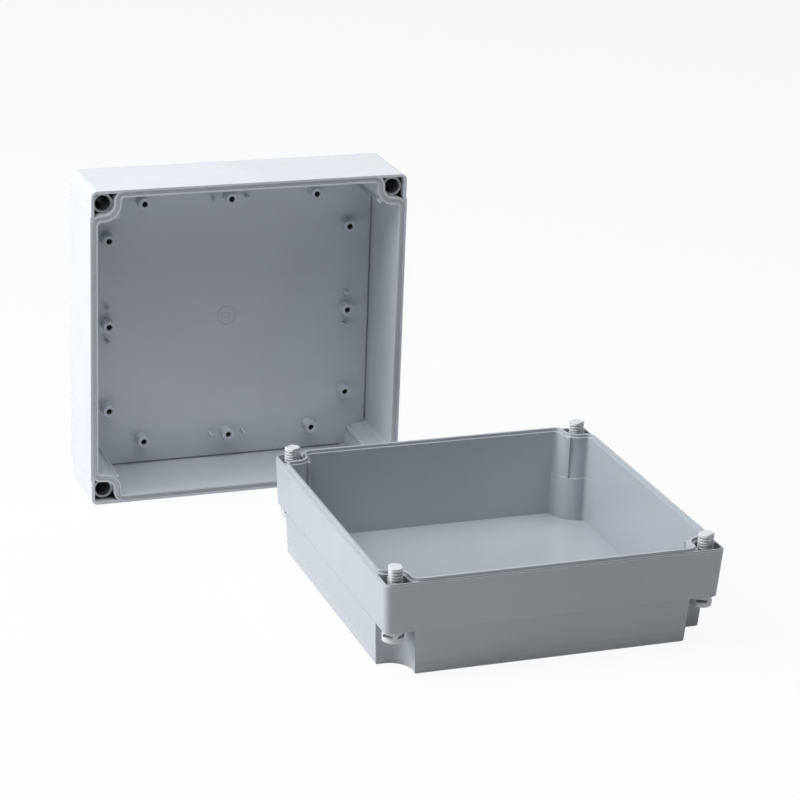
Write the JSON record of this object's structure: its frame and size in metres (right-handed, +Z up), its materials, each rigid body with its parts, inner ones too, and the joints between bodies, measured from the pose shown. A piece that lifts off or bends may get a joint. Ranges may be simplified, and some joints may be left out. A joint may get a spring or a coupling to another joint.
{
  "type": "plastic enclosure",
  "caption": "Square grey plastic wall enclosure: an open base with floor bosses, and a deep lid held on by captive corner screws.",
  "frame": {"origin": "centre of the bottom of the bounding box of the base and lid together, on the surface that both stand on", "axes": "+Z up, +Y from the lid towards the base and on through the base's back, +X to the right; the base's mouth faces -Y and the lid's mouth faces +Z"},
  "size_m": [0.4083, 0.4684, 0.28],
  "materials": {
    "base_shell": "fine satin moulded plastic",
    "lid_shell": "fine satin moulded plastic",
    "screw": "satin moulded plastic",
    "seal": "matt foamed seal"
  },
  "bodies": {
    "base": {"base": "base_shell", "rim_seal": "seal"},
    "lid": {"lid": "lid_shell"},
    "screw_front_left": {"captive_screw_front_left": "screw"},
    "screw_front_right": {"captive_screw_front_right": "screw"},
    "screw_back_left": {"captive_screw_back_left": "screw"},
    "screw_back_right": {"captive_screw_back_right": "screw"}
  },
  "joints": [
    {"name": "lid_lift", "type": "slide", "parent": "base", "child": "lid", "axis": [0, 0, 1], "range_m": [0, 0.2]},
    {"name": "screw_turn_front_left", "type": "hinge", "parent": "lid", "child": "screw_front_left", "pos_m": [-0.06375, -0.22215, 0.0777], "axis": [0, 0, 1], "continuous": true},
    {"name": "screw_turn_front_right", "type": "hinge", "parent": "lid", "child": "screw_front_right", "pos_m": [0.19205, -0.22215, 0.0777], "axis": [0, 0, 1], "continuous": true},
    {"name": "screw_turn_back_left", "type": "hinge", "parent": "lid", "child": "screw_back_left", "pos_m": [-0.06375, 0.03365, 0.0777], "axis": [0, 0, 1], "continuous": true},
    {"name": "screw_turn_back_right", "type": "hinge", "parent": "lid", "child": "screw_back_right", "pos_m": [0.19205, 0.03365, 0.0777], "axis": [0, 0, 1], "continuous": true}
  ]
}
